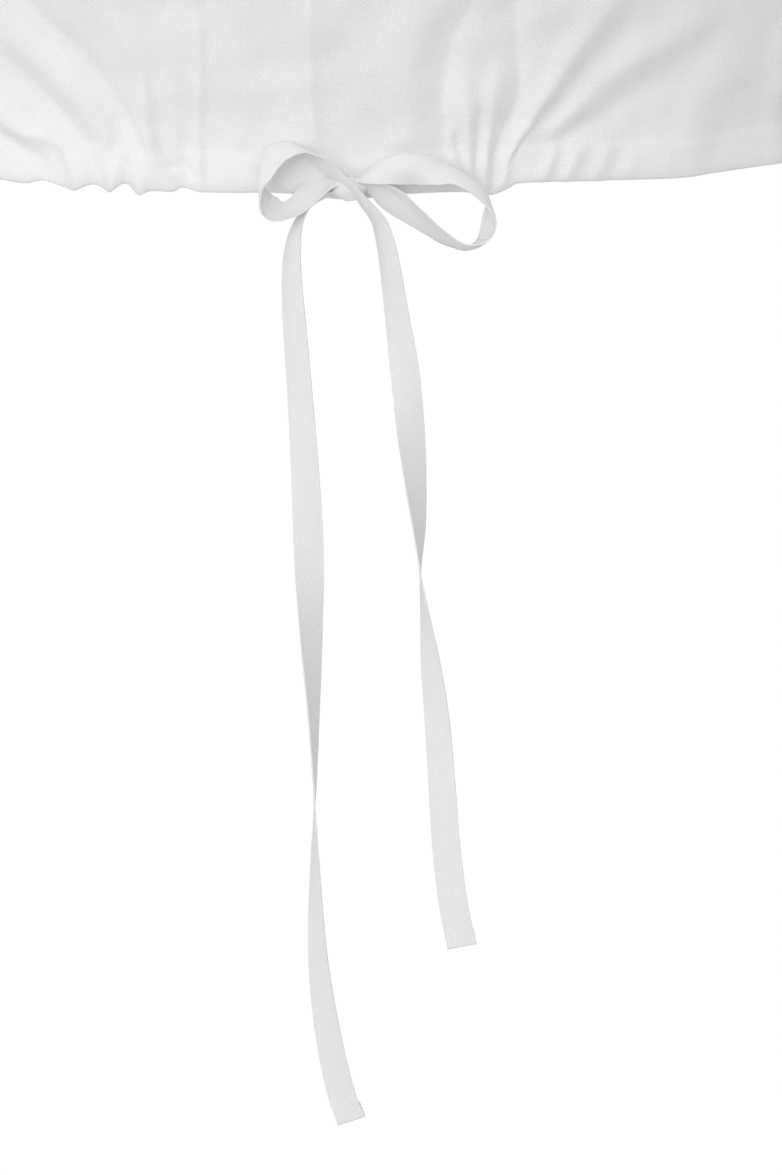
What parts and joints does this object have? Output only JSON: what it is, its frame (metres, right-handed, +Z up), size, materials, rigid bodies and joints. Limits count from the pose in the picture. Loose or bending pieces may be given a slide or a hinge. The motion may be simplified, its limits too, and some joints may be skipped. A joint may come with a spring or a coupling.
{
  "type": "dirndl blouse",
  "caption": "White cropped dirndl blouse, worn shape, round neck, short puff sleeves, drawstring hem tied in a front bow with two long tape tails.",
  "frame": {"origin": "midway between the shoulders, level with the points where the shoulder seams meet the neck, where the wearer's shoulders carry the blouse", "axes": "+Z up, +X to the wearer's left along the shoulders, -Y towards the front"},
  "size_m": [0.5786, 0.2562, 0.7029],
  "materials": {
    "cloth": "plain-woven white linen and cotton cloth",
    "tape": "white cotton herringbone tape, 10 mm wide"
  },
  "bodies": {
    "root": {"front": "cloth", "back": "cloth", "sleeve_left": "cloth", "sleeve_right": "cloth", "cuff_left": "cloth", "cuff_right": "cloth", "neckband": "cloth", "tape_lead_left": "tape", "tape_lead_right": "tape", "tape_knot": "tape", "tape_loop_left": "tape", "tape_loop_right": "tape", "tape_tail_left": "tape", "tape_tail_right": "tape"}
  },
  "joints": []
}
